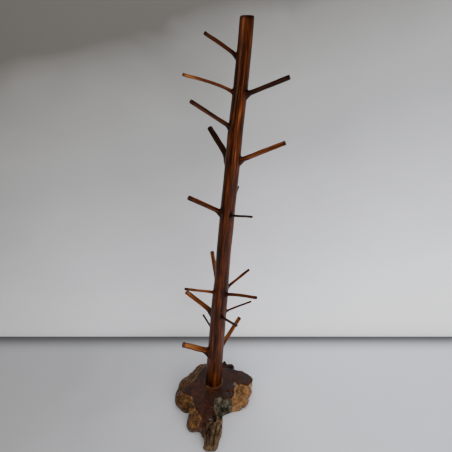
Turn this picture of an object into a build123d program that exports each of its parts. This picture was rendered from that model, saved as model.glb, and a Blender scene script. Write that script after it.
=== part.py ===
from build123d import *
import os
from math import cos, radians, sin

# A rustic coat tree: the debarked trunk of a young conifer, standing in a slab of root burl.
# The stubs of its own branches, sawn short, are the pegs. The trunk's foot sits in a blind
# socket in the slab, glued, and a lag screw from underneath draws it down.
# Millimetres, +Z up, floor at Z = 0. +X is the side the trunk leans to and -Y is the front,
# where the slab runs out into a tongue of root. All is drawn about the trunk's foot and then
# moved, so that the origin is the middle of the whole outline seen from above.

# ---- driving dimensions ----
HEIGHT = 1650          # floor to the sawn top of the trunk
LEAN = 125             # how far the top stands to the right of the foot
ROOT_WIDTH = 389       # root slab, left to right
ROOT_THICK = 82        # root slab, floor to its flat top

# ---- root slab ----
BELLY_HEIGHT = 30      # where the slab is widest
FLOOR_TUCK = 0.96      # outline at the floor, as a share of the widest one

# (x, y) where the slab is widest, then (x, y) of its flat top's edge, from the trunk's foot
OUTLINE_WIDTH = 389    # the width of the slab that the rows below draw
ROOT_OUTLINE = (
    # right lobe
    (125, -110, 90, -93), (138, -103, 101, -78), (147, -90, 103, -59), (155, -75, 103, -45),
    (164, -58, 107, -30), (173, -45, 114, -19), (180, -30, 131, -13), (185, -14, 152, -19),
    (189, 0, 179, -19), (197, 21, 195, -3), (199, 36, 200, 10), (190, 52, 194, 29),
    (172, 66, 180, 45), (152, 78, 159, 60), (132, 86, 138, 71), (117, 91, 117, 75),
    # far lobe
    (108, 101, 103, 82), (105, 116, 98, 99), (86, 126, 81, 109), (70, 134, 65, 115),
    (54, 144, 52, 124), (33, 147, 33, 125), (10, 140, 10, 113), (-16, 138, -14, 102),
    (-41, 150, -35, 102),
    # bark shoulder
    (-66, 165, -50, 99), (-82, 161, -61, 83), (-96, 145, -71, 66), (-109, 129, -78, 47),
    (-124, 110, -85, 30), (-138, 92, -93, 14), (-151, 74, -106, 0), (-159, 54, -120, -10),
    (-169, 34, -132, -20), (-177, 13, -143, -30),
    # left lobe
    (-185, -10, -150, -44), (-190, -32, -153, -58), (-189, -57, -143, -70), (-179, -81, -129, -75),
    (-167, -99, -117, -80), (-152, -111, -106, -86), (-135, -119, -99, -93),
    (-120, -116, -94, -103), (-105, -116, -90, -117),
    # small knob
    (-95, -129, -85, -133), (-94, -141, -80, -144), (-101, -155, -76, -153),
    (-110, -167, -72, -162), (-118, -184, -68, -169), (-118, -202, -63, -176),
    (-110, -214, -58, -181), (-95, -219, -54, -187), (-79, -217, -50, -192),
    # tongue
    (-66, -215, -45, -198), (-53, -228, -39, -206), (-42, -244, -31, -214), (-33, -260, -24, -218),
    (-32, -279, -17, -219), (-32, -297, -9, -218), (-21, -307, -3, -216), (-2, -308, 3, -213),
    (15, -306, 10, -208), (25, -290, 16, -202), (29, -271, 20, -195), (34, -249, 20, -186),
    (40, -227, 18, -175), (43, -205, 15, -163), (47, -181, 12, -151), (46, -159, 10, -139),
    # hollow
    (45, -142, 10, -123), (53, -132, 12, -108), (66, -126, 22, -95), (81, -120, 37, -92),
    (95, -114, 52, -97), (110, -111, 72, -98),
)

# ---- trunk: (share of the height, share of the lean, diameter) ----
FOOT_DIAMETER = 80
TRUNK_STATIONS = (
    (0.124, 0.054, 77), (0.188, 0.114, 73.5), (0.249, 0.173, 72), (0.322, 0.237, 70),
    (0.373, 0.296, 68), (0.420, 0.346, 61.5), (0.503, 0.419, 60), (0.562, 0.490, 60),
    (0.618, 0.547, 58), (0.671, 0.618, 56.5), (0.721, 0.677, 56), (0.792, 0.748, 54),
    (0.836, 0.812, 51.5), (0.877, 0.870, 50), (0.954, 0.959, 47), (1.000, 1.000, 45),
)
TOP_CHAMFER = 3

# ---- trunk foot in the slab ----
SOCKET_DEPTH = 50      # how deep the trunk's foot sits in the slab
GLUE_GAP = 0.4         # all round the foot, and under it
GLUE_RING_HEIGHT = 7   # bead of glue and varnish round the foot, on the slab's top
GLUE_RING_WIDTH = 9
GLUE_RING_HOLLOW = 0.4  # how far out its hollow side lies, as a share of both

# ---- branch pegs: (share of the height, bearing, rise, length, thickness, bow upward) ----
# The length is what stands out of the trunk, and the thickness is halfway along.
PEGS = (
    (0.9248, 160, 30.9, 127, 12, 2), (0.8640, 190, 17.5, 170, 10, 5),
    (0.8578, -20, 21.2, 149, 15, 0), (0.7919, 215, 31.3, 172, 13.3, 0),
    (0.7156, 125, 37, 150, 21, 3), (0.7208, -15, 24.5, 172, 16.4, 0),
    (0.5941, 72, 26.5, 130, 12, 0), (0.5961, 200, 31.5, 142, 17, 2),
    (0.5961, -60, 19.2, 147, 8.5, 0), (0.3519, 101, 33, 196, 18, 4),
    (0.3756, 27, 28.5, 122, 11.5, 0), (0.3746, 210, 25.9, 143, 11, 0),
    (0.2953, 155, 28, 144, 20, 2), (0.3725, -42, 21, 170, 12.5, 3), (0.3056, 5, 21.8, 119, 8.5, 1),
    (0.2262, 128, 27, 82, 9, 0), (0.3015, -62, 22, 139, 10, 0), (0.1531, 50, 30.5, 173, 19, 2),
    (0.1644, 192, 28.4, 128, 25, 2),
)
COLLAR_SWELL = 1.16    # a peg's thickness where it leaves the trunk, over that halfway along
TIP_TAPER = 0.92       # and at its sawn end
KNOT_DEPTH = 17        # how far each peg's knot runs on into the trunk
KNOT_TAPER = 0.60      # the knot's inner end, over the peg's thickness
KNOT_GAP = 0.15        # between a knot and the wood grown round it
TIP_CHAMFER = 0.8

# ---- lag screw and washer, under the slab ----
SCREW_DIAMETER = 12
THREAD_DEPTH = 1.5
SCREW_LENGTH = 130     # under the head
SCREW_PITCH = 5
SCREW_SHANK = 30       # plain length under the head
SCREW_POINT = 10
HEAD_ACROSS = 19       # hexagon, across its flats
HEAD_HEIGHT = 7.5
WASHER_DIAMETER = 34
WASHER_THICK = 2.5
SCREW_GAP = 0.5        # round the screw, in the slab, the washer and the trunk
BORE_DEPTH = 16        # the sunk bore that hides the head
BORE_GAP = 2           # round the washer in that bore

# ---- worked out ----
SOCKET_FLOOR = ROOT_THICK - SOCKET_DEPTH
FOOT_BOTTOM = SOCKET_FLOOR + GLUE_GAP
FOOT_TOP = ROOT_THICK + GLUE_RING_HEIGHT + 1
FOOT_RADIUS = FOOT_DIAMETER / 2


def trunk_sections():
    """Height, lean and radius of each ring that the trunk is lofted through, foot first."""
    rings = [(FOOT_BOTTOM, 0, FOOT_RADIUS), (FOOT_TOP, 0, FOOT_RADIUS)]
    for share, lean, diameter in TRUNK_STATIONS:
        rings.append((share * HEIGHT, lean * LEAN, diameter / 2))
    return [rings[0]] + [ring for ring in rings[1:] if ring[0] >= FOOT_TOP]


def trunk_at(height):
    """The trunk's lean and radius at one height."""
    rings = trunk_sections()
    for low, high in zip(rings, rings[1:]):
        if height <= high[0]:
            share = (height - low[0]) / (high[0] - low[0])
            return low[1] + share * (high[1] - low[1]), low[2] + share * (high[2] - low[2])
    return rings[-1][1:]


def disc(centre, normal, radius):
    """A round section, facing along normal."""
    return Plane(origin=centre, z_dir=normal) * Circle(radius)


def outline(height, column, share):
    """One level of the slab: a closed smooth curve through one pair of the outline's columns."""
    scale = share * ROOT_WIDTH / OUTLINE_WIDTH
    points = [(row[column] * scale, row[column + 1] * scale, height) for row in ROOT_OUTLINE]
    return make_face(Spline(*points, periodic=True))


def root_slab():
    """The slab, with the socket for the trunk and the stepped hole for the lag screw."""
    levels = [
        outline(0, 0, FLOOR_TUCK),
        outline(BELLY_HEIGHT, 0, 1),
        outline(ROOT_THICK, 2, 1),
    ]
    slab = loft(levels, ruled=True)
    up = (Align.CENTER, Align.CENTER, Align.MIN)
    slab -= Pos(0, 0, SOCKET_FLOOR) * Cylinder(FOOT_RADIUS + GLUE_GAP, ROOT_THICK, align=up)
    slab -= Cylinder(SCREW_DIAMETER / 2 + SCREW_GAP, ROOT_THICK, align=up)
    slab -= Cylinder(WASHER_DIAMETER / 2 + BORE_GAP, BORE_DEPTH, align=up)
    return slab


def trunk_blank():
    """The bare trunk, before the knots are let into it."""
    rings = [disc((lean, 0, height), (0, 0, 1), radius) for height, lean, radius in trunk_sections()]
    blank = loft(rings, ruled=True)
    top_edge = blank.faces().sort_by(Axis.Z)[-1].edges()
    return chamfer(top_edge, TOP_CHAMFER)


def peg_axis(peg):
    """Where a peg's axis meets the trunk's axis, its direction, and the way it bows."""
    share, bearing, rise = peg[:3]
    height = share * HEIGHT
    lean, radius = trunk_at(height)
    across, climb = radians(bearing), radians(rise)
    direction = Vector(cos(across) * cos(climb), sin(across) * cos(climb), sin(climb))
    upward = Vector(-cos(across) * sin(climb), -sin(across) * sin(climb), cos(climb))
    return Vector(lean, 0, height), direction, upward, radius / cos(climb)


def knot(peg, gap):
    """The tapered knot of a peg inside the trunk, swollen all round by a gap."""
    start, direction, _, skin = peg_axis(peg)
    thick = peg[4] / 2
    inner = start + direction * (skin - KNOT_DEPTH - gap)
    outer = start + direction * skin
    narrow = disc(inner, direction, thick * KNOT_TAPER + gap)
    wide = disc(outer, direction, thick * COLLAR_SWELL + gap)
    return loft([narrow, wide], ruled=True)


def stub(peg, gap):
    """The slightly bowed length of a peg outside the trunk, swollen by a gap."""
    start, direction, upward, skin = peg_axis(peg)
    length, thick, bow = peg[3], peg[4] / 2, peg[5]
    rings = []
    for share, swell in ((0, COLLAR_SWELL), (0.25, 1.03), (0.5, 1), (1, TIP_TAPER)):
        rise = bow * 4 * share * (1 - share)
        centre = start + direction * (skin + share * length) + upward * rise
        rings.append(disc(centre, direction, thick * swell + gap))
    return loft(rings)


def branch_peg(peg):
    """A peg: its knot and its stub, with the sawn end's edge eased."""
    start, direction, _, _ = peg_axis(peg)
    bare = stub(peg, 0)
    sawn_end = bare.faces().sort_by(Axis(tuple(start), tuple(direction)))[-1]
    return knot(peg, 0) + chamfer(sawn_end.edges(), TIP_CHAMFER)


def trunk(pegs):
    """The trunk with a socket grown round every knot, and the hole for the lag screw."""
    body = trunk_blank()
    for peg in pegs:
        body -= knot(peg, KNOT_GAP) + stub(peg, KNOT_GAP)
    up = (Align.CENTER, Align.CENTER, Align.MIN)
    depth = BORE_DEPTH - WASHER_THICK + SCREW_LENGTH + SCREW_GAP
    body -= Cylinder(SCREW_DIAMETER / 2 + SCREW_GAP, depth, align=up)
    return body


def glue_ring():
    """The bead where the trunk leaves the slab, hollow-sided like a fillet."""
    inner = FOOT_RADIUS + GLUE_GAP
    low, high = ROOT_THICK, ROOT_THICK + GLUE_RING_HEIGHT
    foot, top = (inner + GLUE_RING_WIDTH, low), (inner, high)
    hollow = (inner + GLUE_RING_WIDTH * GLUE_RING_HOLLOW, low + GLUE_RING_HEIGHT * GLUE_RING_HOLLOW)
    side = ThreePointArc((foot[0], 0, foot[1]), (hollow[0], 0, hollow[1]), (top[0], 0, top[1]))
    back = Polyline((inner, 0, high), (inner, 0, low), (foot[0], 0, low))
    return revolve(make_face([side, back]), Axis.Z)


def lag_screw():
    """Hexagon head, plain shank, then a thread drawn as rings, and a point."""
    seat = BORE_DEPTH - WASHER_THICK
    top = seat + SCREW_LENGTH
    crest = SCREW_DIAMETER / 2
    root = crest - THREAD_DEPTH
    profile = [(0, seat), (crest, seat), (crest, seat + SCREW_SHANK)]
    turns = int((SCREW_LENGTH - SCREW_SHANK - SCREW_POINT) / SCREW_PITCH)
    for turn in range(turns):
        low = seat + SCREW_SHANK + turn * SCREW_PITCH
        profile += [(root, low + SCREW_PITCH * 0.4), (crest, low + SCREW_PITCH)]
    profile += [(root, top - SCREW_POINT), (0, top)]
    points = [(x, 0, z) for x, z in profile]
    stem = revolve(make_face(Polyline(*points, close=True)), Axis.Z)
    hexagon = RegularPolygon(HEAD_ACROSS / 2, 6, major_radius=False)
    head = extrude(Pos(0, 0, seat - HEAD_HEIGHT) * hexagon, amount=HEAD_HEIGHT)
    return head + stem


def washer():
    """The flat washer between the screw's head and the slab."""
    up = (Align.CENTER, Align.CENTER, Align.MIN)
    plate = Cylinder(WASHER_DIAMETER / 2, WASHER_THICK, align=up)
    plate -= Cylinder(SCREW_DIAMETER / 2 + SCREW_GAP, WASHER_THICK, align=up)
    return Pos(0, 0, BORE_DEPTH - WASHER_THICK) * plate


def coat_tree():
    """Every piece by name, about the trunk's foot."""
    pieces = {
        "root_slab": root_slab(),
        "trunk": trunk(PEGS),
        "glue_ring": glue_ring(),
        "lag_screw": lag_screw(),
        "washer": washer(),
    }
    for number, peg in enumerate(PEGS, 1):
        pieces[f"branch_peg_{number:02d}"] = branch_peg(peg)
    return pieces


os.makedirs("parts", exist_ok=True)
tree = coat_tree()
middle = Compound(list(tree.values())).bounding_box().center()
for name, piece in tree.items():
    export_step(Pos(-middle.X, -middle.Y, 0) * piece, f"parts/{name}.step")
print("foot of the trunk stands at X %.2f, Y %.2f" % (-middle.X, -middle.Y))
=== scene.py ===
# %% [markdown]
# # A rustic coat tree
# The real thing is a young conifer, felled, barked, lightly scorched and varnished. The stubs of
# its own branches stay on as pegs, and its foot stands in a slab of root burl. Nothing on it was
# turned or planed, so every form here starts as a plain primitive and then has to lose its
# regularity. The sizes come from the measured frame, which is loaded first and never changed.

# %% Load the measured frame
import bpy
import numpy as np
from math import pi, radians
from mathutils import Matrix, Vector, noise


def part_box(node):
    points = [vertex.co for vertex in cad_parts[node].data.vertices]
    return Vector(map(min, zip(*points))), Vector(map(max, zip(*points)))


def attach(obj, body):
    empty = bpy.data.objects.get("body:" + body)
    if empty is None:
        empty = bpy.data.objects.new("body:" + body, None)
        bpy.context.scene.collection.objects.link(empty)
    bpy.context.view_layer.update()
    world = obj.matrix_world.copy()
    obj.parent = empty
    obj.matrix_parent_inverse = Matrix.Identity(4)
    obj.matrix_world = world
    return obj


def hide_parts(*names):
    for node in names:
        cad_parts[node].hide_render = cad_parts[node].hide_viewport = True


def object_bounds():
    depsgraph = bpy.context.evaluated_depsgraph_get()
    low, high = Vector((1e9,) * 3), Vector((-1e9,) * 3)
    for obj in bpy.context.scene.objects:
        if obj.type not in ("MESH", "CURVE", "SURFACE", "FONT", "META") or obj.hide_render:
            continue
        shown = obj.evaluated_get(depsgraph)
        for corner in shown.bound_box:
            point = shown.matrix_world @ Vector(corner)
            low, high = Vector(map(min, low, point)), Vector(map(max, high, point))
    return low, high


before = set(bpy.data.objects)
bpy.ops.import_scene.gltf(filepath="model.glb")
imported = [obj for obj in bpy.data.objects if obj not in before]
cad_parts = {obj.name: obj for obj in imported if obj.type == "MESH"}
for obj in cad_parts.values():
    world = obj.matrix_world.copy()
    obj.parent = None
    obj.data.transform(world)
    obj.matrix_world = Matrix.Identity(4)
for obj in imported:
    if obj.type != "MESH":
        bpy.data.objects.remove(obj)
cad_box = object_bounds()
peg_nodes = sorted(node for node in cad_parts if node.startswith("branch_peg"))
print("frame", [round(side, 3) for side in cad_box[1] - cad_box[0]], "with", len(peg_nodes), "pegs")

# %% [markdown]
# ## Three habits of the workbench
# An operator works on whatever is selected, so each step first selects its own piece and nothing
# else. Modifiers are added, set and applied in one go. Reading a mesh into rows of numbers makes
# it easy to measure the frame, and to push many points at once when a form is roughed up. Numbers
# kept on the vertices are the notes that the materials read at the end.

# %% Select, finish, read and write a mesh
def only(*pieces):
    """Selects these pieces and nothing else, and makes the last one active."""
    bpy.ops.object.select_all(action="DESELECT")
    for piece in pieces:
        piece.select_set(True)
    bpy.context.view_layer.objects.active = pieces[-1]


def modify(piece, kind, **settings):
    """Adds one modifier, sets it and applies it."""
    only(piece)
    modifier = piece.modifiers.new(kind, kind)
    for name, value in settings.items():
        setattr(modifier, name, value)
    bpy.ops.object.modifier_apply(modifier=modifier.name)


def points(piece):
    """The vertices of a mesh as rows of x, y, z."""
    rows = np.empty(len(piece.data.vertices) * 3, np.float32)
    piece.data.vertices.foreach_get("co", rows)
    return rows.reshape(-1, 3).astype(float)


def move_points(piece, rows):
    """Puts every vertex of a mesh at its row's place."""
    piece.data.vertices.foreach_set("co", rows.astype(np.float32).ravel())
    piece.data.update()


def note(piece, name, values):
    """Keeps a number or a vector on every vertex, for the materials to read."""
    kind = "FLOAT" if values.ndim == 1 else "FLOAT_VECTOR"
    kept = piece.data.attributes.new(name, kind, "POINT")
    kept.data.foreach_set("value" if values.ndim == 1 else "vector", values.astype(np.float32).ravel())


def smoothstep(low, high, value):
    """0 below low, 1 above high, and an even ease between."""
    share = np.clip((value - low) / (high - low), 0, 1)
    return share * share * (3 - 2 * share)


# %% [markdown]
# ## Reading the trunk and the pegs off the frame
# The frame's trunk is a row of plain rings, and each peg is a straight taper with a slight bow.
# Fitting a circle to a ring's vertices gives its centre and radius even where a knot has cut a
# bite out of it. The looks are then built on the same axes, so nothing has to be fitted later.

# %% Fit circles to the frame's rings
def circle_through(flat):
    """Centre and radius of the circle that best fits points in a plane."""
    columns = np.c_[2 * flat, np.ones(len(flat))]
    x, y, rest = np.linalg.lstsq(columns, (flat ** 2).sum(1), rcond=None)[0]
    return x, y, (rest + x * x + y * y) ** 0.5


# A ring has many vertices at one height. Those near the axis belong to the screw's hole.
PILOT_HOLE = 0.015
CROWD = 70
FULL_RING = 60


def measure_trunk():
    """Height, x, y and radius of each ring of the trunk, foot first."""
    shell = points(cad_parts["trunk"])
    heights, counts = np.unique(shell[:, 2].round(4), return_counts=True)
    rings = []
    for height in heights[counts > CROWD]:
        ring = shell[abs(shell[:, 2] - height) < 1e-4][:, :2]
        away = np.linalg.norm(ring - ring.mean(0), axis=1)
        ring = ring[away > PILOT_HOLE]
        if len(ring) > FULL_RING:
            rings.append((height, *circle_through(ring)))
    return np.array(rings)


TRUNK = measure_trunk()
FOOT = Vector((TRUNK[0][1], TRUNK[0][2], 0))
TOP = TRUNK[-1][0]


def trunk_at(height):
    """The trunk's axis and radius at any height: x, y, radius."""
    return [np.interp(height, TRUNK[:, 0], TRUNK[:, column]) for column in (1, 2, 3)]


print("trunk", len(TRUNK), "rings, foot at", [round(v, 4) for v in FOOT])

# %% Measure each peg
RING_SHARES = (0.12, 0.3, 0.5, 0.7, 0.9)
END_SLICE = 0.0004
RING_SLICE = 0.003


def measure_peg(node):
    """Where a peg leaves the trunk, which way it grows, and its rings beyond the trunk's skin."""
    shell = np.unique(points(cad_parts[node]).round(6), axis=0)
    way = np.linalg.svd(shell - shell.mean(0), full_matrices=False)[2][0]
    way *= np.sign((shell.mean(0) - np.array([*trunk_at(shell.mean(0)[2])[:2], 0])) @ (way * (1, 1, 0)))
    along = (shell - shell.mean(0)) @ way
    ends = [shell[abs(along - limit) < END_SLICE].mean(0) for limit in (along.min(), along.max())]
    way = (ends[1] - ends[0]) / np.linalg.norm(ends[1] - ends[0])
    side = np.cross(way, (0, 0, 1))
    side /= np.linalg.norm(side)
    upward = np.cross(side, way)
    steps = np.arange(0, 0.06, 0.0005)
    track = ends[0] + steps[:, None] * way
    x, y, radius = trunk_at(track[:, 2])
    skin = steps[np.argmax(np.hypot(track[:, 0] - x, track[:, 1] - y) > radius)]
    origin = ends[0] + skin * way
    length = (ends[1] - origin) @ way
    local = (shell - origin) @ np.array([upward, side, way]).T
    rings = []
    for share in RING_SHARES:
        slice_points = local[abs(local[:, 2] - share * length) < RING_SLICE]
        rings.append((share, *circle_through(slice_points[:, :2])))
    frame_axes = {"upward": upward, "side": side, "way": way}
    return {"node": node, "origin": origin, "length": length, "rings": np.array(rings), **frame_axes}


PEGS = [measure_peg(node) for node in peg_nodes]
for peg in PEGS:
    print(peg["node"], "stands out %.0f mm," % (peg["length"] * 1000), end=" ")
    print("%.1f mm thick" % (peg["rings"][2][3] * 2000))

# %% [markdown]
# ## Drawing out a round form
# A branch and a trunk are both a disc of wood drawn out lengthwise, thicker here and thinner
# there. The same can be done by hand: add a disc, extrude it to the next ring, resize it there,
# and go on. A curve with a bevel would be quicker, but it gives no hold on each ring.

# %% Extrude a disc from ring to ring
def draw_out(rings, sides):
    """A closed form through rings of (height, x, y, radius), upright on the world's origin."""
    height, x, y, radius = rings[0]
    bpy.ops.object.select_all(action="DESELECT")
    place = {"location": (x, y, height), "fill_type": "NGON"}
    bpy.ops.mesh.primitive_circle_add(vertices=sides, radius=radius, **place)
    form = bpy.context.object
    bpy.ops.object.mode_set(mode="EDIT")
    bpy.ops.mesh.select_all(action="SELECT")
    for old, new in zip(rings, rings[1:]):
        step = (new[1] - old[1], new[2] - old[2], new[0] - old[0])
        bpy.ops.mesh.extrude_region_move(TRANSFORM_OT_translate={"value": step})
        scale = new[3] / old[3]
        centre = (new[1], new[2], new[0])
        bpy.ops.transform.resize(value=(scale, scale, scale), center_override=centre)
    bpy.ops.mesh.select_all(action="SELECT")
    bpy.ops.mesh.normals_make_consistent(inside=False)
    bpy.ops.object.mode_set(mode="OBJECT")
    bpy.ops.object.transform_apply(location=True, rotation=True, scale=True)
    return form


def stand_on(form, peg):
    """Turns an upright form to grow the way a peg does, and puts it where the peg starts."""
    axes = Matrix((peg["upward"], peg["side"], peg["way"])).transposed()
    only(form)
    form.matrix_world = Matrix.Translation(Vector(peg["origin"])) @ axes.to_4x4()
    bpy.ops.object.transform_apply(location=True, rotation=True, scale=True)
    return form


# %% [markdown]
# ## The pegs
# A branch stub isn't a dowel. It thickens towards the trunk, its girth comes and goes where twigs
# grew, and its line wanders a little. The saw leaves a flat end with an eased edge. Each peg is
# drawn out in twenty rings, and a cloud pattern stretched along it then lifts and sinks its skin.
# Every peg gets its own stretch of the pattern, so no two are alike.

# %% A cloud pattern that is long one way, as growth is
def clouds(name, size):
    """A soft random pattern for the Displace modifier."""
    pattern = bpy.data.textures.new(name, "CLOUDS")
    pattern.noise_scale = size
    pattern.noise_depth = 2
    return pattern


def stretch_frame(name, place, stretch):
    """An empty that the pattern hangs on: stretching it stretches the pattern."""
    bpy.ops.object.empty_add(location=place)
    empty = bpy.context.object
    empty.name = name
    empty.scale = stretch
    return empty


growth_lumps = clouds("growth_lumps", 0.02)
growth_frame = stretch_frame("growth_frame", (0, 0, 0), (1, 1, 2.2))
print("lumps of", growth_lumps.noise_scale * 1000, "mm")

# %% Draw out one peg
# How far a peg starts inside the trunk, and its lumps, drift and girth over the measured ones.
PEG_SIDES = 22
PEG_RINGS = 20
PEG_SUNK = 0.006
PEG_LUMPS = 0.14
PEG_DRIFT = 0.14
PEG_FULL = 1.06
PEG_UNEVEN = 0.07
LUMPS_OUT = 0.36


def wander(seed, share, size):
    """A slow random drift along a peg, the same each time."""
    return size * noise.noise(Vector((seed * 7.31, share * 2.6, 4.7)))


def peg_rings(peg, seed):
    """The rings of a grown peg: the frame's taper and bow, with a little wander of its own."""
    rings = []
    for share in np.linspace(0, 1, PEG_RINGS):
        bow = np.interp(share, peg["rings"][:, 0], peg["rings"][:, 1])
        thick = np.interp(share, peg["rings"][:, 0], peg["rings"][:, 3])
        free = share * (1 - share) * 4
        x = bow * min(1, share * 6) + wander(seed, share, PEG_DRIFT * thick * free)
        y = wander(seed + 50, share, PEG_DRIFT * thick * free)
        swell = PEG_FULL + wander(seed + 90, share * 3, PEG_UNEVEN)
        height = share * (peg["length"] + PEG_SUNK) - PEG_SUNK
        rings.append((height, x, y, thick * swell))
    return rings


EASED = 0.0006


def sawn_end(form, top):
    """Eases the edge of the sawn end, and keeps the end flat with two more insets."""
    bpy.ops.object.mode_set(mode="EDIT")
    bpy.ops.mesh.select_mode(type="FACE")
    bpy.ops.mesh.select_all(action="DESELECT")
    bpy.ops.object.mode_set(mode="OBJECT")
    for face in form.data.polygons:
        face.select = face.center.z > top - 1e-4 and face.normal.z > 0.9
    bpy.ops.object.mode_set(mode="EDIT")
    bpy.ops.mesh.inset(thickness=0.0007)
    bpy.ops.transform.translate(value=(0, 0, EASED))
    bpy.ops.mesh.inset(thickness=0.0005)
    bpy.ops.mesh.inset(thickness=0.0012)
    bpy.ops.object.mode_set(mode="OBJECT")


def grow_peg(peg, seed):
    """One finished branch peg, in place."""
    rings = peg_rings(peg, seed)
    rings[-1] = (rings[-1][0] - EASED, *rings[-1][1:])
    form = draw_out(rings, PEG_SIDES)
    form.name = peg["node"].replace("branch_peg", "grown_peg")
    only(form)
    sawn_end(form, rings[-1][0])
    modify(form, "SUBSURF", levels=1, render_levels=1)
    growth_frame.location = (seed * 0.31, seed * 0.17, 0)
    lumps = {"texture": growth_lumps, "texture_coords": "OBJECT", "texture_coords_object": growth_frame}
    modify(form, "DISPLACE", strength=PEG_LUMPS * rings[PEG_RINGS // 2][3], mid_level=LUMPS_OUT, **lumps)
    only(form)
    bpy.ops.object.shade_smooth_by_angle(angle=radians(50))
    return stand_on(form, peg)


grown_pegs = [grow_peg(peg, seed) for seed, peg in enumerate(PEGS, 1)]
for piece in grown_pegs:
    move_points(piece, np.clip(points(piece), *cad_box))
print(len(grown_pegs), "pegs of", len(grown_pegs[0].data.polygons), "faces")

# %% [markdown]
# ## The trunk and its collars
# Where a branch leaves a trunk the wood swells into a collar, deep and drawn down underneath and
# tight on top. Modelling that seam by hand for nineteen branches would be slow, so each collar is
# a separate flared form pushed into the trunk. A voxel remesh then casts trunk and collars in
# one skin, as growth does, and a smoothing kept to the collars melts the joins.

# %% The trunk, drawn out ring by ring
TRUNK_SIDES = 56
trunk = draw_out([tuple(ring) for ring in TRUNK], TRUNK_SIDES)
trunk.name = "grown_trunk"
print("trunk drawn out in", len(TRUNK), "rings")

# %% Drill the foot for the screw
SCREW_HOLE = {"radius": 0.0064, "depth": 0.120, "location": (FOOT.x, FOOT.y, 0.086)}
bpy.ops.mesh.primitive_cylinder_add(vertices=24, **SCREW_HOLE)
drill = bpy.context.object
modify(trunk, "BOOLEAN", operation="DIFFERENCE", object=drill)
bpy.data.objects.remove(drill)
print("trunk", len(trunk.data.polygons), "faces before the collars")

# %% One flared collar for each peg
# Along the peg from the trunk's skin, thickness over the peg's, and how far it is drawn down.
COLLAR = (
    (-0.016, 1.90, 0.50), (-0.003, 1.66, 0.30), (0.005, 1.40, 0.14), (0.011, 1.18, 0.05), (0.019, 1.03, 0.0),
)
COLLAR_END = 0.028
COLLAR_SIDES = 24


def grow_collar(peg):
    """The swelling round the foot of one peg, longer on a thick peg than on a thin one."""
    thick = peg["rings"][0][3]
    reach = 0.6 + thick * 45
    rings = []
    for along, swell, sag in COLLAR:
        rings.append((along * reach, -sag * thick, 0, thick * swell))
    bow = np.interp(COLLAR_END * reach / peg["length"], peg["rings"][:, 0], peg["rings"][:, 1])
    rings.append((COLLAR_END * reach, bow, 0, thick * 0.93))
    return stand_on(draw_out(rings, COLLAR_SIDES), peg)


collars = [grow_collar(peg) for peg in PEGS]
only(*collars, trunk)
bpy.ops.object.join()
print("trunk and collars", len(trunk.data.polygons), "faces")

# %% Cast them in one skin and melt the joins
SKIN = 0.0024
modify(trunk, "REMESH", mode="VOXEL", voxel_size=SKIN)


def near_collars(rows):
    """1 at the foot of any peg, fading to 0 a few peg thicknesses away."""
    nearest = np.zeros(len(rows))
    for peg in PEGS:
        thick = peg["rings"][0][3]
        away = np.linalg.norm(rows - peg["origin"], axis=1)
        nearest = np.maximum(nearest, 1 - smoothstep(2.6 * thick, 5.5 * thick, away))
    return nearest


def hold(piece, name, weights, least=0):
    """A vertex group that limits a modifier to one surface."""
    group = piece.vertex_groups.new(name=name)
    for index in np.nonzero(weights > least)[0]:
        group.add([int(index)], float(weights[index]), "REPLACE")
    return group.name


collars_only = hold(trunk, "collars", near_collars(points(trunk)))
modify(trunk, "SMOOTH", factor=0.6, iterations=10, vertex_group=collars_only)
modify(trunk, "SMOOTH", factor=0.5, iterations=2)
print("trunk", len(trunk.data.polygons), "faces in one skin")

# %% [markdown]
# ## The slab of root burl
# The slab was sawn flat on top, while its sides were left as they grew: swollen lobes, a bark
# shoulder, a knob, a rotted hollow and a tongue of root with open grain. A sculptor would start
# from a rough block and press lumps of clay on it. Here the block is a merged copy of the frame's
# slab, the lumps are stretched spheres, and a voxel remesh takes the place of kneading.

# %% A merged copy of the frame's slab
def merged_copy(node, name):
    """A copy of one of the frame's plain pieces, its loose triangles merged into one skin."""
    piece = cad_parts[node].copy()
    piece.data = piece.data.copy()
    piece.name = name
    bpy.context.collection.objects.link(piece)
    piece.hide_viewport = piece.hide_render = False
    only(piece)
    bpy.ops.object.mode_set(mode="EDIT")
    bpy.ops.mesh.select_all(action="SELECT")
    bpy.ops.mesh.remove_doubles(threshold=1e-5)
    bpy.ops.mesh.normals_make_consistent(inside=False)
    bpy.ops.object.mode_set(mode="OBJECT")
    return piece


slab = merged_copy("root_slab", "grown_root")
SLAB_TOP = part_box("root_slab")[1][2]
print("slab", len(slab.data.vertices), "vertices, top at", round(SLAB_TOP, 4))

# %% Press on the lobes and knobs
# From the trunk's foot, in millimetres: place, then half sizes, then the turn about the vertical.
LUMPS = {
    "left_lobe": (-145, -66, 36, 40, 46, 36, 10),
    "left_rim": (-120, -88, 58, 26, 13, 18, 20),
    "left_shoulder": (-143, 10, 42, 34, 50, 32, -14),
    "small_knob": (-95, -191, 30, 23, 26, 27, 10),
    "knob_stem": (-76, -178, 44, 20, 26, 28, 20),
    "front_rim": (-57, -205, 48, 13, 34, 24, 40),
    "right_lobe": (135, -68, 34, 38, 38, 34, 30),
    "right_side": (160, -30, 44, 28, 40, 34, -25),
    "far_lobe": (75, 113, 44, 36, 22, 30, 20),
    "far_tip": (53, 129, 60, 14, 14, 24, 0),
    "tongue_ridge": (-11, -262, 20, 18, 42, 24, 4),
    "tongue_side": (27, -226, 34, 15, 44, 30, -6),
}


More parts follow.
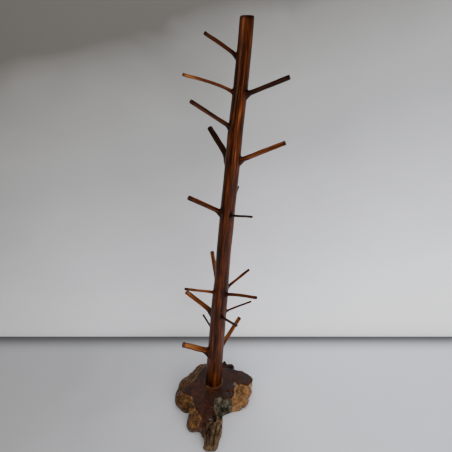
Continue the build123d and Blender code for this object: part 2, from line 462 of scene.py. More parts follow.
def press_on(name, x, y, z, wide, deep, high, turn):
    """One stretched ball of wood, to be kneaded into the slab."""
    place = FOOT + Vector((x, y, z)) / 1000
    bpy.ops.mesh.primitive_uv_sphere_add(segments=32, ring_count=18, radius=1, location=place)
    lump = bpy.context.object
    lump.name = name
    lump.scale = Vector((wide, deep, high)) / 1000
    lump.rotation_euler = (0, 0, radians(turn))
    bpy.ops.object.transform_apply(location=True, rotation=True, scale=True)
    return lump


lumps = [press_on(name, *numbers) for name, numbers in LUMPS.items()]
only(*lumps, slab)
bpy.ops.object.join()
print("slab with", len(lumps), "lumps pressed on")

# %% Knead them into one skin
CLAY = 0.0026
modify(slab, "REMESH", mode="VOXEL", voxel_size=CLAY)
print("slab", len(slab.data.polygons), "faces in one skin")

# %% [markdown]
# ## Where each surface of the slab begins
# The sawn top, bark, smooth golden burl, fibrous tongue and rotted hollow are marked once, as a
# weight from 0 to 1 on every vertex. The same weights then limit each relief and choose each
# colour, so that shape and finish always change at the same line.

# %% The outlines of the sawn top and of the rotted hollow
# From the trunk's foot, in millimetres. The top goes anticlockwise from the right.
SAWN_TOP = (
    (102, -77), (102, -48), (109, -22), (131, -13), (167, -24), (178, -20), (196, -1), (197, 17), (177, 45),
    (140, 66), (105, 75), (79, 83), (51, 85), (-3, 92), (-50, 99), (-73, 63), (-88, 20), (-115, -6),
    (-140, -27), (-152, -61), (-125, -77), (-101, -87), (-90, -117), (-78, -151), (-62, -176), (-48, -195),
    (-36, -210), (-16, -218), (7, -210), (21, -195), (9, -148), (13, -97), (37, -90), (51, -103), (89, -94),
)
ROTTED = (
    (2, -114), (10, -85), (34, -78), (61, -87), (86, -84), (84, -104), (82, -150), (60, -168), (30, -180),
    (4, -155),
)


def from_line(flat, start, end):
    """Distance of each point from a straight line between two corners."""
    run = end - start
    share = np.clip(((flat - start) @ run) / (run @ run), 0, 1)
    return np.linalg.norm(flat - start - share[:, None] * run, axis=1)


def inside_outline(flat, outline):
    """Distance in from the outline at each point: positive inside, negative outside."""
    corners = np.array(outline, float)
    nearest = np.full(len(flat), 1e9)
    crossings = np.zeros(len(flat), int)
    for start, end in zip(corners, np.roll(corners, -1, axis=0)):
        nearest = np.minimum(nearest, from_line(flat, start, end))
        spans = (start[1] > flat[:, 1]) != (end[1] > flat[:, 1])
        rise = end[1] - start[1]
        meets = start[0] + (flat[:, 1] - start[1]) * (end[0] - start[0]) / (rise if rise else 1e-9)
        crossings += spans & (flat[:, 0] < meets)
    return np.where(crossings % 2 == 1, nearest, -nearest)


def from_foot(rows):
    """Places in millimetres from the trunk's foot."""
    return (rows - np.array(FOOT)) * 1000


print("the sawn top has", len(SAWN_TOP), "corners")

# %% Weights for the slab's surfaces
# The bearings are in degrees about the trunk's foot, and all lengths in millimetres from it. Each
# round spot has its place, its reach and how softly it ends.
CHARRED = ((-34, -222, 20, 12), (-12, -252, 16, 10))
# Spots of painted cream highlight on the slab's side.
CREAM_HIGHLIGHT_SPOTS = ((14, -152, 12, 9), (36, -228, 13, 12))
WOBBLE = 2.2
WOBBLE_SIZE = 90


def ragged(rows):
    """A soft random number at each row, the same each time, that keeps borders from running straight."""
    shift = Vector((3, 0, 0))
    return np.array([WOBBLE * noise.fractal(Vector(row * WOBBLE_SIZE) + shift, 1, 2, 3) for row in rows])


def round_spots(place, spots):
    """1 within reach of any of the spots on the slab, easing to 0."""
    nearest = np.zeros(len(place))
    for x, y, reach, soft in spots:
        away = np.hypot(place[:, 0] - x, place[:, 1] - y)
        nearest = np.maximum(nearest, 1 - smoothstep(reach - soft, reach + soft, away))
    return nearest


def slab_zones(place, wobble):
    """How far each vertex belongs to each of the slab's surfaces."""
    edge = inside_outline(place[:, :2], SAWN_TOP) + wobble
    bearing = np.degrees(np.arctan2(place[:, 1], place[:, 0])) % 360
    top = smoothstep(-1.5, 1.5, edge) * smoothstep(70, 79, place[:, 2])
    side = 1 - top
    past_far = smoothstep(88, 104, bearing)
    zones = {"top": top}
    zones["under"] = 1 - smoothstep(1.5, 6, place[:, 2])
    zones["bark"] = side * past_far * (1 - smoothstep(164, 178, bearing))
    zones["far"] = side * (smoothstep(6, 18, bearing) * (1 - past_far))
    zones["tongue"] = side * smoothstep(188, 210, -place[:, 1]) * smoothstep(-58, -42, place[:, 0])
    zones["hollow"] = side * smoothstep(-7, 3, inside_outline(place[:, :2], ROTTED))
    others = np.maximum.reduce([zones[name] for name in ("bark", "far", "tongue", "hollow")])
    zones["golden"] = side * (1 - others)
    zones["charred"] = side * round_spots(place, CHARRED)
    zones["pale"] = side * round_spots(place, CREAM_HIGHLIGHT_SPOTS)
    zones["edge"] = edge
    return zones


wobble = ragged(points(slab))
zones = slab_zones(from_foot(points(slab)), wobble)
for name in ("top", "bark", "golden", "tongue", "hollow"):
    print(name, "covers", int(100 * zones[name].mean()), "% of the vertices", end="; ")

# %% [markdown]
# ## Relief on each surface
# Bark cracks into plates, burl swells in small blisters, root fibre splits lengthwise, and rot
# eats ragged holes. Each is a Displace modifier with its own pattern, held to its surface by a
# vertex group. Hanging the pattern on a stretched empty gives it a direction.

# %% Patterns for each surface
def crackle(name, size):
    """Cells with sunk borders, as in bark."""
    pattern = bpy.data.textures.new(name, "VORONOI")
    pattern.noise_scale = size
    pattern.weight_1 = -1.4
    pattern.weight_2 = 1.4
    return pattern


def ridges(name, size, layers):
    """Sharp ridges with worn hollows between them."""
    pattern = bpy.data.textures.new(name, "MUSGRAVE")
    pattern.musgrave_type = "RIDGED_MULTIFRACTAL"
    pattern.noise_scale = size
    pattern.octaves = layers
    pattern.gain = 1.4
    return pattern


def relief(piece, weights, pattern, depth, middle, stretch=(1, 1, 1), turn=0):
    """Pushes one surface in and out by a pattern."""
    surface = hold(piece, pattern.name, weights, 0.01)
    hook = stretch_frame(pattern.name, (FOOT.x, FOOT.y, 0), stretch)
    hook.rotation_euler = (0, 0, radians(turn))
    bpy.context.view_layer.update()
    place = {"texture_coords": "OBJECT", "texture_coords_object": hook, "vertex_group": surface}
    modify(piece, "DISPLACE", texture=pattern, strength=depth, mid_level=middle, **place)
    bpy.data.objects.remove(hook)


# Where each pattern goes, the pattern, its depth, the tone that stays level, its stretch and turn.
zones["side"] = 1 - zones["top"]
free = 1 - zones["under"]
RELIEFS = (
    ("side", clouds("swelling", 0.045), 0.010, 0.55),
    ("bark", crackle("bark_plates", 0.017), 0.006, 0.8, (1, 1, 1.5)),
    ("bark", ridges("bark_ridges", 0.020, 4), 0.003, 0.6),
    ("far", crackle("far_plates", 0.026), 0.006, 0.8),
    ("golden", clouds("blisters", 0.016), 0.004, 0.55, (1, 1, 1.2)),
    ("tongue", ridges("fibres", 0.011, 3), 0.0042, 0.75, (1, 7, 1.6), 6),
    ("hollow", ridges("rot", 0.024, 4), 0.009, 0.85),
    ("hollow", crackle("rot_cells", 0.022), 0.005, 0.85, (1, 1.4, 1)),
    ("top", clouds("saw_waves", 0.05), 0.0006, 1.0),
)
for name, *settings in RELIEFS:
    relief(slab, free * zones[name], *settings)
print("relief on every surface")

# %% [markdown]
# ## Holes, cracks and painted glints
# Rot left round pits, and drying opened long cracks along the root fibre. Cutting them with
# Boolean tools would leave hard edges that look drilled, so the skin is sunk straight down,
# deepest in the middle and easing out. How far each vertex was sunk is kept for the painted shade
# in the holes and cracks, and so is the place of each pale fleck of painted highlight in the pits.

# %% Eat out the holes and cracks
# From the trunk's foot, in millimetres: place or line, then reach and depth.
HOLES = (
    (105, -15, 6, 4), (116, -49, 7, 5), (33, -94, 6, 4), (-8, -199, 8, 8), (-16, -146, 5, 3),
    (4, -184, 9, 11), (11, -201, 9, 12), (69, -60, 7, 4), (93, -63, 7, 4), (78, -72, 5, 3),
    (42, -118, 15, 14), (65, -112, 12, 10), (35, -145, 11, 9), (84, -101, 9, 7), (22, -112, 8, 7),
)
CRACKS = (
    ((21, -190), (8, -208), (-3, -220), (-14, -235), (-24, -252), 3.6, 9),
    ((-34, -219), (-28, -241), (-24, -265), (-22, -291), 2.6, 7),
    ((20, -215), (16, -241), (9, -266), (5, -293), 2.8, 8),
    ((39, -208), (32, -234), (26, -260), 2.4, 6),
    ((-7, -241), (-10, -260), (-12, -289), 2.2, 6),
)
CRACK_SHARE = 0.6
SOLID_BELOW = 0.012


def hollows(flat):
    """Each point's distance from every hole and every run of a crack, with its reach and depth."""
    for x, y, reach, depth in HOLES:
        yield np.hypot(flat[:, 0] - x, flat[:, 1] - y), reach, depth
    for *line, reach, depth in CRACKS:
        for start, end in zip(np.array(line[:-1], float), np.array(line[1:], float)):
            yield from_line(flat, start, end), reach, depth * CRACK_SHARE


skin = points(slab)
place = from_foot(skin)
flat = place[:, :2] + np.c_[wobble, np.roll(wobble, 7)]
sunk = np.zeros(len(skin))
for away, reach, depth in hollows(flat):
    fade = np.exp(-(away / reach) ** 2)
    skin[:, 2] -= depth / 1000 * fade * (skin[:, 2] > SOLID_BELOW)
    sunk = np.maximum(sunk, fade)
print(len(HOLES), "holes and", len(CRACKS), "cracks")

# %% Ease the rim, and keep within the measured box
# The eased rim's width, the reach of the level seat round the trunk and the height that it is
# sawn at are in millimetres, and the rim's drop is in metres.
RIM = 6.0
LEVEL_SEAT = 56
SAWN_FROM = 82
RIM_DROP = 0.0022
rim = np.clip(1 - zones["edge"] / RIM, 0, 1) * zones["top"]
skin[:, 2] -= RIM_DROP * rim ** 2
near_foot = np.hypot(place[:, 0], place[:, 1]) < LEVEL_SEAT
skin[near_foot, 2] = np.where(place[near_foot, 2] > SAWN_FROM, SLAB_TOP, skin[near_foot, 2])
skin = np.clip(skin, *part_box("root_slab"))
move_points(slab, skin)
modify(slab, "SMOOTH", factor=0.35, iterations=1)
only(slab)
bpy.ops.object.shade_smooth_by_angle(angle=radians(60))
print("slab", len(slab.data.polygons), "faces, kept in its box")

# %% Keep the weights for the material
# Flecks of painted highlight where the varnish glints in the pits, from the trunk's foot in millimetres:
# place and reach.
FLECKS = (
    (-7, -201, 5), (31, -94, 4), (105, -13, 5), (26, -99, 3), (113, -20, 3), (64, -104, 4), (84, -107, 4),
)
flecked = np.zeros(len(skin))
for x, y, reach in FLECKS:
    flecked = np.maximum(flecked, np.exp(-(np.hypot(flat[:, 0] - x, flat[:, 1] - y) / reach) ** 2))
for name in ("top", "bark", "far", "tongue", "hollow", "charred", "pale"):
    note(slab, name, zones[name])
note(slab, "edge", zones["edge"] / 1000)
# How far each vertex was sunk, which the material turns into painted shade.
note(slab, "sunk", sunk)
note(slab, "fleck", flecked)
print("weights kept, with", len(FLECKS), "flecks of painted_highlights")

# %% [markdown]
# ## What each point of wood knows
# Wood has a direction. Streaks, grain and scorch run up the trunk, and where a branch leaves
# they turn out along it. If each vertex keeps its place along and across its own piece of wood,
# one material serves trunk and pegs alike, and its pattern flows round the collars. The vertices
# also keep how near they are to a knot, and whether they lie on a sawn end.

# %% Grain coordinates on trunk and pegs
def trunk_grain(rows):
    """Place across the trunk's axis, and height along it."""
    x, y, _ = trunk_at(rows[:, 2])
    return np.c_[rows[:, 0] - x, rows[:, 1] - y, rows[:, 2]]


def peg_grain(rows, peg):
    """Place across and along one peg, in the trunk's terms where the two meet."""
    local = (rows - peg["origin"]) @ np.array([peg["upward"], peg["side"], peg["way"]]).T
    start = trunk_grain(np.array([peg["origin"]]))[0]
    outward = np.array([start[0], start[1], 0]) / np.hypot(start[0], start[1])
    across = np.cross((0, 0, 1), outward)
    turned = -local[:, :1] * outward - local[:, 1:2] * across
    return start + turned + local[:, 2:3] * np.array([0, 0, 1]), local


print("the grain runs from", round(TRUNK[0][0], 3), "to", round(TOP, 3), "m up the trunk")

# %% Grain, knot and scorch on every vertex
# How dark the trunk and each peg were scorched, top peg first: 0 is bare orange wood, 1 is nearly
# black. The foot and every sawn tip, with the last few millimetres before it, are darker.
TRUNK_TONE = 0.5
TONES = (0.52, 0.36, 0.80, 0.70, 0.72, 0.36, 0.76, 0.58, 0.70, 0.42,
         0.50, 0.44, 0.20, 0.42, 0.60, 0.60, 0.55, 0.18, 0.22)
FOOT_SCORCH = 0.15
TIP_SCORCH = 0.35
TIP_REACH = 0.014


def wood_notes(piece, tone):
    """Grain, knot and scorch on every vertex of a piece of the tree."""
    rows = points(piece)
    grain = trunk_grain(rows)
    knot = np.zeros(len(rows))
    scorch = tone + FOOT_SCORCH * (1 - smoothstep(0.10, 0.16, rows[:, 2]))
    scorch = scorch + TIP_SCORCH * smoothstep(-TIP_REACH, 0, rows[:, 2] - cad_box[1][2])
    for number, peg in enumerate(PEGS):
        own, local = peg_grain(rows, peg)
        thick = peg["rings"][0][3]
        beside = smoothstep(2 * thick, 3.2 * thick, np.hypot(local[:, 0], local[:, 1]))
        on_peg = smoothstep(-0.4 * thick, 1.6 * thick, local[:, 2]) * (1 - beside)
        grain = grain * (1 - on_peg[:, None]) + own * on_peg[:, None]
        tip = smoothstep(-TIP_REACH, 0, local[:, 2] - peg["length"])
        scorch = scorch * (1 - on_peg) + (TONES[number] + TIP_SCORCH * tip) * on_peg
        near = np.linalg.norm(local * (0.75, 1, 0.6), axis=1)
        knot = np.maximum(knot, 1 - smoothstep(0.9 * thick, 3.4 * thick, near))
    note(piece, "grain", grain)
    note(piece, "knot", knot)
    note(piece, "scorch", scorch)


wood_notes(trunk, TRUNK_TONE)
for tone, piece in zip(TONES, grown_pegs):
    wood_notes(piece, tone)
print("grain, knot and scorch kept on", 1 + len(grown_pegs), "pieces")

# %% Mark the sawn ends
END_DEPTH = 0.0012


def mark_sawn(piece, centre, way, radius):
    """1 on the flat sawn end of a piece, 0 elsewhere, and the distance from its heart."""
    rows = points(piece)
    along = (rows - centre) @ np.array(way)
    away = np.linalg.norm(rows - centre - along[:, None] * np.array(way), axis=1)
    on_end = (along > -END_DEPTH) & (away < radius)
    note(piece, "sawn", on_end.astype(float))
    note(piece, "heart", np.where(on_end, away, 0.0))


mark_sawn(trunk, np.array([TRUNK[-1][1], TRUNK[-1][2], TOP]), (0, 0, 1), TRUNK[-1][3] + 0.001)
for peg, piece in zip(PEGS, grown_pegs):
    thick = peg["rings"][-1][3]
    mark_sawn(piece, peg["origin"] + peg["length"] * peg["way"], peg["way"], thick * 1.2)
print("sawn ends marked")

# %% [markdown]
# ## Shader maths that reads as sums
# A material is a small calculation at every point of a surface. Wrapping a node's socket in a
# class lets that calculation be written as ordinary arithmetic, and every other node comes from
# one method that takes its type, its settings and its inputs.

# %% A wire and a recipe
class Wire:
    """A socket that carries a number, for use in sums."""

    def __init__(self, recipe, socket):
        self.recipe = recipe
        self.socket = socket

    def sum(self, operation, first, second):
        return self.recipe.node("ShaderNodeMath", {"operation": operation}, {0: first, 1: second})

    def __add__(self, other):
        return self.sum("ADD", self, other)

    def __sub__(self, other):
        return self.sum("SUBTRACT", self, other)

    def __rsub__(self, other):
        return self.sum("SUBTRACT", other, self)

    def __mul__(self, other):
        return self.sum("MULTIPLY", self, other)

    __radd__ = __add__
    __rmul__ = __mul__


class Recipe:
    """One material, built node by node."""

    def __init__(self, name):
        self.material = bpy.data.materials.new(name)
        self.material.use_nodes = True
        self.tree = self.material.node_tree
        self.shader = self.tree.nodes["Principled BSDF"]

    def node(self, kind, settings=None, inputs=None, output=0):
        """A node of a type, with its settings made first and then its sockets filled."""
        made = self.tree.nodes.new(kind)
        for name, value in (settings or {}).items():
            if name == "stops":
                self.set_stops(made.color_ramp, value)
            else:
                setattr(made, name, value)
        for name, value in (inputs or {}).items():
            self.feed(made.inputs[name], value)
        return Wire(self, made.outputs[output])

    def set_stops(self, ramp, stops):
        """Fills a colour ramp from (place, colour) pairs."""
        while len(ramp.elements) < len(stops):
            ramp.elements.new(0.5)
        for element, (place, colour) in zip(ramp.elements, stops):
            element.position = place
            element.color = (*colour, 1)

    def feed(self, socket, value):
        """Links a wire to a socket, or sets the socket's own value."""
        if isinstance(value, Wire):
            self.tree.links.new(value.socket, socket)
        elif hasattr(value, "__len__") and socket.type == "RGBA":
            socket.default_value = (*value, 1)
        else:
            socket.default_value = value

    def finish(self, **sockets):
        """Feeds the shader's own sockets by name, with _ for each space."""
        for name, value in sockets.items():
            self.feed(self.shader.inputs[name.replace("_", " ")], value)
        return self.material

    def kept(self, name, vector=False):
        """A number or vector kept on the vertices."""
        return self.node("ShaderNodeAttribute", {"attribute_name": name}, output=1 if vector else 2)

    def stretch(self, place, scale, shift=(0, 0, 0)):
        """Coordinates scaled unevenly, so that a pattern is long one way."""
        return self.node("ShaderNodeMapping", {}, {"Vector": place, "Scale": scale, "Location": shift})

    def cloud(self, place, scale, detail=4, rough=0.55, warp=0.0):
        """Soft noise from 0 to 1."""
        inputs = {"Vector": place, "Scale": scale, "Detail": detail, "Roughness": rough, "Distortion": warp}
        return self.node("ShaderNodeTexNoise", {}, inputs)

    def step(self, value, low, high):
        """0 below low, 1 above high, eased between."""
        settings = {"interpolation_type": "SMOOTHSTEP"}
        inputs = {"Value": value, "From Min": low, "From Max": high}
        return self.node("ShaderNodeMapRange", settings, inputs)

    def ramp(self, value, *stops):
        """A colour for each value, eased between stops."""
        return self.node("ShaderNodeValToRGB", {"stops": stops}, {"Fac": value})

    def mix(self, factor, first, second):
        """The second colour laid over the first, as far as the factor says."""
        return self.node("ShaderNodeMix", {"data_type": "RGBA"}, {0: factor, 6: first, 7: second}, 2)

    def bump(self, height, distance, strength):
        """Small relief from a height."""
        inputs = {"Height": height, "Distance": distance, "Strength": strength}
        return self.node("ShaderNodeBump", {}, inputs)

    def axis(self, place, number):
        """One coordinate of a place: 0 is x, 1 is y and 2 is z."""
        return self.node("ShaderNodeSeparateXYZ", {}, {0: place}, number)

    def wave(self, value):
        """Even bands from -1 to 1."""
        return self.node("ShaderNodeMath", {"operation": "SINE"}, {0: value})


def paint(piece, material):
    """Gives a piece one material and no other."""
    piece.data.materials.clear()
    piece.data.materials.append(material)


print("wires and recipes ready")

# %% [markdown]
# ## Scorched and varnished conifer
# A torch was run over the bare wood, so it is dark brown with lighter orange streaks where the
# flame passed quickly, and almost black round the knots. Over it lies a clear varnish. A painted
# picture of wood would have to be wrapped round every fork, so the streaks come from noise that is
# stretched along the grain notes. A clear coat on the shader is the varnish, so the wood under it
# can stay dull while the surface shines.

# %% The wood of trunk and pegs
CHAR = (0.0060, 0.0014, 0.0003)
DARK = (0.0200, 0.0044, 0.0007)
BROWN = (0.056, 0.0115, 0.0018)
ORANGE = (0.125, 0.0290, 0.0050)
STRAW = (0.280, 0.110, 0.0260)
WOOD_TONES = ((0.38, CHAR), (0.48, DARK), (0.60, BROWN), (0.73, ORANGE), (0.88, STRAW))
VARNISH = {"Coat_Weight": 0.24, "Coat_Roughness": 0.2, "Coat_IOR": 1.45, "Specular_IOR_Level": 0.12}


def scorched_wood(name, lift):
    """Dark brown wood with orange streaks along the grain, under varnish."""
    wood = Recipe(name)
    grain = wood.kept("grain", vector=True)
    knot = wood.kept("knot")
    scorch = wood.kept("scorch")
    flames = wood.cloud(wood.stretch(grain, (1, 1, 0.08)), 70, 3, 0.5, 0.2)
    streaks = wood.cloud(wood.stretch(grain, (1, 1, 0.035), (3, 1, 0)), 260, 3, 0.6, 0.1)
    fibres = wood.cloud(wood.stretch(grain, (1, 1, 0.03), (7, 2, 0)), 900, 3, 0.6)
    warmth = flames * 0.55 + streaks * 0.85 + fibres * 0.30 - scorch * 0.5 - knot * 0.12 + lift
    rings = wood.wave(wood.kept("heart") * 2600 + flames * 9)
    end_wood = wood.ramp(rings * 0.5 + 0.5, (0.2, DARK), (0.8, BROWN))
    colour = wood.mix(wood.kept("sawn"), wood.ramp(warmth, *WOOD_TONES), end_wood)
    skin = wood.bump(fibres * 0.5 + streaks, 0.0008, 0.6)
    return wood.finish(Base_Color=colour, Roughness=streaks * 0.2 + 0.42, Normal=skin, **VARNISH)


paint(trunk, scorched_wood("scorched_trunk_wood", -0.045))
peg_wood = scorched_wood("scorched_peg_wood", 0.01)
for piece in grown_pegs:
    paint(piece, peg_wood)
print("scorched wood on", 1 + len(grown_pegs), "pieces")

# %% [markdown]
# ## Varnished burl
# The sawn top is dark and nearly smooth, reddish in some places and greyer in others. The burl's
# swollen sides stayed golden, with burnt creases, and bark, rot and root fibre are duller and
# rougher. Separate materials would meet in hard lines, so one material holds all six surfaces:
# each has its own tones on a shared noise, and the kept weights mix one into the next.

# %% The tones of each surface
# Each ramp goes from its creases to its lightest patches: place on the noise, then colour.
TOP_TONES = ((0.38, (0.014, 0.006, 0.004)), (0.52, (0.042, 0.014, 0.008)), (0.66, (0.088, 0.024, 0.011)))
GOLDEN_TONES = ((0.36, (0.040, 0.016, 0.005)), (0.46, (0.120, 0.055, 0.018)), (0.64, (0.290, 0.155, 0.062)))
BARK_TONES = ((0.42, (0.012, 0.007, 0.003)), (0.56, (0.070, 0.034, 0.012)), (0.76, (0.230, 0.130, 0.050)))
FAR_TONES = ((0.35, (0.006, 0.002, 0.001)), (0.55, (0.020, 0.006, 0.003)), (0.75, (0.06, 0.03, 0.012)))
TONGUE_TONES = ((0.34, (0.022, 0.013, 0.007)), (0.50, (0.078, 0.046, 0.023)), (0.68, (0.165, 0.100, 0.047)))
HOLLOW_TONES = ((0.40, (0.010, 0.008, 0.005)), (0.55, (0.066, 0.055, 0.034)), (0.70, (0.270, 0.260, 0.180)))
GREY_PATCH = (0.021, 0.018, 0.014)
# Tones of the painted cream highlights, deep and bright.
CREAM_HIGHLIGHT_DEEP = (0.07, 0.045, 0.022)
CREAM_HIGHLIGHT_BRIGHT = (0.24, 0.16, 0.085)
# Painted shade in the sunk holes and cracks, and painted highlights where varnish glints in the pits.
PAINTED_PIT_SHADE = (0.008, 0.005, 0.004)
PAINTED_PIT_GLINT = (0.30, 0.28, 0.21)
print("six surfaces of three tones each, and the tones of stains, pits and painted_highlights")

# %% One material for the whole slab
def burl_wood(name):
    """Dark sawn top, golden burl, bark, root fibre and rot under one varnish."""
    burl = Recipe(name)
    place = burl.stretch(burl.node("ShaderNodeTexCoord", output=3), (1, 1, 1), (-FOOT.x, -FOOT.y, 0))
    broad = burl.cloud(place, 22, 3, 0.55, 0.4)
    patches = burl.cloud(place, 75, 4, 0.6, 0.8)
    grit = burl.cloud(place, 420, 3, 0.65)
    strands = burl.cloud(burl.stretch(place, (1, 0.12, 0.5)), 240, 4, 0.6, 0.4)
    level = burl.stretch(place, (1, 1, 0))
    from_heart = burl.node("ShaderNodeVectorMath", {"operation": "LENGTH"}, {0: level}, 1)
    arcs = burl.wave(from_heart * 900 + broad * 16)
    stain = burl.step(burl.cloud(place, 11, 2, 0.5, 0.6), 0.48, 0.58)
    top = burl.ramp(broad * 0.5 + patches * 0.5 + arcs * 0.08, *TOP_TONES)
    top = burl.mix(stain * 0.65, top, GREY_PATCH)
    edge = burl.kept("edge")
    # Painted light on the golden burl: a painted highlight just outside the rim of the sawn top, and painted
    # light growing brighter towards the right, where the main lamp stands. The burl also darkens further out
    # from the top.
    painted_burl_light = edge + burl.axis(place, 0) * 0.35 + burl.step(edge, -0.010, -0.001) * 0.05
    golden = burl.ramp(broad * 0.2 + patches * 0.65 + grit * 0.12 + painted_burl_light, *GOLDEN_TONES)
    cream_highlight = burl.mix(patches, CREAM_HIGHLIGHT_DEEP, CREAM_HIGHLIGHT_BRIGHT)
    layers = (
        ("bark", 1.0, burl.ramp(patches * 0.7 + grit * 0.45, *BARK_TONES)),
        ("far", 1.0, burl.ramp(patches, *FAR_TONES)),
        ("tongue", 1.0, burl.ramp(strands * 0.45 + patches * 0.55, *TONGUE_TONES)),
        ("hollow", 1.0, burl.ramp(patches * 0.65 + grit * 0.4, *HOLLOW_TONES)),
        ("charred", 0.95, top),
        # Painted cream highlights on two spots of the side.
        ("pale", 0.6, cream_highlight),
        ("top", 1.0, top),
        # Painted shade in the sunk holes and cracks, and painted highlights in the pits.
        ("sunk", 0.85, PAINTED_PIT_SHADE),
        ("fleck", 0.7, PAINTED_PIT_GLINT),
    )
    colour = golden
    for surface, share, tone in layers:
        colour = burl.mix(burl.kept(surface) * share, colour, tone)
    height = patches * 0.5 + grit * 0.5 + strands * burl.kept("tongue")
    skin = burl.bump(height * (1 - burl.kept("top") * 0.85), 0.0014, 0.45)
    coat = 0.16 - burl.kept("bark") * 0.14 - burl.kept("far") * 0.14
    gloss = {"Coat_Weight": coat, "Coat_Roughness": 0.25, "Specular_IOR_Level": 0.12}
    return burl.finish(Base_Color=colour, Roughness=0.5 - burl.kept("top") * 0.1, Normal=skin, **gloss)


paint(slab, burl_wood("varnished_burl"))
print("varnished burl on the slab")

# %% [markdown]
# ## The bead at the trunk's foot
# Glue and varnish ran out where the trunk enters the slab and dried in an uneven bead. The
# frame's ring is even all round, so a merged copy of it is cut finer and lifted by a cloud
# pattern, which makes it look squeezed out and not turned.

# %% Squeeze out the bead
BEAD_SKIN = 0.0009
bead = merged_copy("glue_ring", "squeezed_bead")
modify(bead, "REMESH", mode="VOXEL", voxel_size=BEAD_SKIN)
above = smoothstep(0.0005, 0.002, points(bead)[:, 2] - SLAB_TOP)
relief(bead, above, clouds("squeeze", 0.012), 0.003, 0.75)
bead_rows = points(bead)
bead_rows[:, 2] = np.maximum(bead_rows[:, 2], SLAB_TOP)
move_points(bead, bead_rows)
bpy.ops.object.shade_smooth_by_angle(angle=radians(60))
print("bead", len(bead.data.polygons), "faces")

# %% Its dried amber
glue = Recipe("dried_glue")
run = glue.cloud(glue.node("ShaderNodeTexCoord", output=3), 160, 3)
amber = glue.ramp(run, (0.35, (0.024, 0.008, 0.003)), (0.62, (0.095, 0.036, 0.012)))
glaze = {"Coat_Weight": 0.2, "Coat_Roughness": 0.2, "Specular_IOR_Level": 0.2}
paint(bead, glue.finish(Base_Color=amber, Roughness=0.4, **glaze))
print("amber on the bead")

# %% [markdown]
# ## Zinc-plated steel
# The lag screw and its washer only show from below. Their shapes in the frame are right, so they
# stay and get a new finish: bright zinc with a fine brushed grain, dulled in soft patches.

# %% Plate the screw and washer
zinc = Recipe("bright_zinc")
where = zinc.node("ShaderNodeTexCoord", output=3)
patch = zinc.cloud(where, 110, 3)
brushed = zinc.cloud(zinc.stretch(where, (1, 1, 0.08)), 1600, 2)
shine = zinc.ramp(patch, (0.35, (0.44, 0.45, 0.46)), (0.65, (0.66, 0.67, 0.68)))
brush = zinc.bump(brushed, 0.0002, 0.4)
zinc.finish(Base_Color=shine, Metallic=1.0, Roughness=patch * 0.25 + 0.22, Normal=brush)
for node in ("lag_screw", "washer"):
    paint(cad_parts[node], zinc.material)
print("zinc on the screw and washer")

# %% [markdown]
# ## Hand the pieces to the frame
# Every finished piece rides on the frame's one body and stands for the plain node that it
# replaces, so the frame keeps its collision shapes and shows only the finished wood.

# %% Ride and replace
def hand_over(piece, node):
    """Ties a finished piece to the frame."""
    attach(piece, "root")
    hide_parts(node)


hand_over(trunk, "trunk")
for peg, piece in zip(PEGS, grown_pegs):
    hand_over(piece, peg["node"])
hand_over(slab, "root_slab")
hand_over(bead, "glue_ring")
bpy.data.objects.remove(growth_frame)
print(3 + len(grown_pegs), "pieces handed over")

# %% [markdown]
# ## A plain corner to stand in
# A pale floor and a pale hung sheet behind show the outline clearly. Painted shade stands for the
# room's light falling off up the sheet and towards the left on both planes, and a painted shadow
# lies on the floor along the sheet's hem. Painting the two planes by their place is simpler than
# draping cloth, and it stays put from every side.

# %% Floor and sheet
STAGE_SIZE = 8
WALL = FOOT.y + 0.40
# How far the painted shadow at the hem reaches, its tone, and the tones of the painted shade up the sheet
# and across the floor.
HEM_SHADE = 0.17
HEM_SHADOW_TONE = (0.10, 0.10, 0.105)
SHEET_SHADE_TONES = (
    (0.03, (1.0, 1.0, 1.0)), (0.16, (0.92, 0.93, 0.96)), (0.38, (0.67, 0.67, 0.70)),
    (0.62, (0.41, 0.41, 0.42)), (0.72, (0.36, 0.36, 0.357)), (0.86, (0.23, 0.225, 0.215)),
    (0.91, (0.13, 0.125, 0.115)),
)
FLOOR_SHADE_TONES = ((0.0, (0.74, 0.75, 0.80)), (0.16, (0.46, 0.465, 0.485)))


def pale_stage(name, stops):
    """A matt pale surface with painted shade, darker upwards and to the left, with painted shading of soft
    creases, and a painted shadow on the floor close to the hem.
    """
    cloth = Recipe(name)
    place = cloth.node("ShaderNodeNewGeometry")
    height = cloth.axis(place, 2)
    # Painted shade: darker upwards and to the left, with painted shading of soft creases.
    creases = cloth.cloud(cloth.stretch(place, (1, 1, 1.6)), 1.7, 3, 0.5, 0.5)
    shade = height * 0.5 - cloth.axis(place, 0) * 0.13 + creases * 0.10
    # A painted shadow on the floor along the sheet's hem.
    hem = cloth.step(cloth.axis(place, 1), WALL - HEM_SHADE, WALL)
    on_floor = 1 - cloth.step(height, 0, 0.001)
    colour = cloth.mix(hem * hem * on_floor, cloth.ramp(shade, *stops), HEM_SHADOW_TONE)
    return cloth.finish(Base_Color=colour, Roughness=0.9, Specular_IOR_Level=0.1)


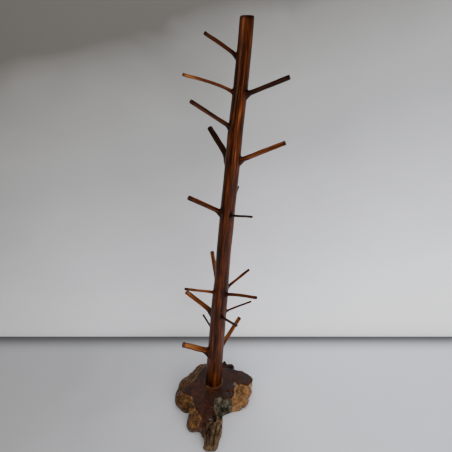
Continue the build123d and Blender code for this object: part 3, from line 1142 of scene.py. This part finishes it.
floor_place = (FOOT.x, WALL - STAGE_SIZE / 2, 0)
wall_place = (FOOT.x, WALL, STAGE_SIZE / 2)
bpy.ops.mesh.primitive_plane_add(size=STAGE_SIZE, location=floor_place)
floor = bpy.context.object
paint(floor, pale_stage("pale_floor", FLOOR_SHADE_TONES))
bpy.ops.mesh.primitive_plane_add(size=STAGE_SIZE, location=wall_place, rotation=(pi / 2, 0, 0))
wall = bpy.context.object
paint(wall, pale_stage("pale_sheet", SHEET_SHADE_TONES))
print("the sheet hangs", round(WALL - FOOT.y, 2), "m behind the trunk")

# %% [markdown]
# ## Window light
# A large soft lamp at the right is the main window, a weak warm one at the left is another, and
# a third stands for the sky. Every lamp that a varnish mirrors lays a pale veil over the dark
# wood, so only the small left one may glint, and the gloss otherwise shows the floor and sheet.

# %% Lamps and the room's own light
MIDDLE = FOOT + Vector((0.05, 0, 0.8))


def lamp(name, away, size, power, colour, glint=False):
    """A rectangular soft lamp, so far away from the tree's middle and turned towards it."""
    bpy.ops.object.light_add(type="AREA", location=MIDDLE + Vector(away))
    light = bpy.context.object
    light.name = name
    light.data.shape = "RECTANGLE"
    light.data.size, light.data.size_y = size
    light.data.energy = power
    light.data.color = colour
    light.visible_glossy = glint
    light.rotation_euler = (-Vector(away)).to_track_quat("-Z", "Y").to_euler()


lamp("window_right", (1.5, -2.6, 0.3), (3.0, 2.4), 96, (0.99, 0.99, 1.0))
lamp("window_left", (-2.0, -1.5, 1.2), (0.8, 1.6), 14, (1.0, 0.88, 0.70), glint=True)
lamp("skylight", (0.3, -0.8, 2.3), (2.4, 1.6), 38, (1.0, 1.0, 1.0))
world = bpy.data.worlds.new("soft_room")
world.use_nodes = True
glow = world.node_tree.nodes["Background"].inputs
glow["Color"].default_value = (0.75, 0.78, 0.82, 1)
glow["Strength"].default_value = 0.26
world.cycles_visibility.glossy = False
bpy.context.scene.world = world
print("two windows, the sky and a weak glow from the room")

# %% [markdown]
# ## The camera
# It stands at a person's eye height, a short step in front of the tree and tilted down, with a
# wide lens. Seen from so near, the foot looks small under a large crown, so the place and the
# tilt matter as much as the lens.

# %% The camera, at a standing person's eye
EYE = Vector((0.0583, -1.2455, 1.532))
TILT_DOWN = 25.5
bpy.ops.object.camera_add(location=FOOT + EYE, rotation=(radians(90 - TILT_DOWN), 0, 0))
camera = bpy.context.object
camera.data.lens = 28
camera.data.sensor_width = 36
camera.data.shift_x = 0.0015
bpy.context.scene.camera = camera
print("the camera stands", round(EYE.z, 2), "m high with a", camera.data.lens, "mm lens")
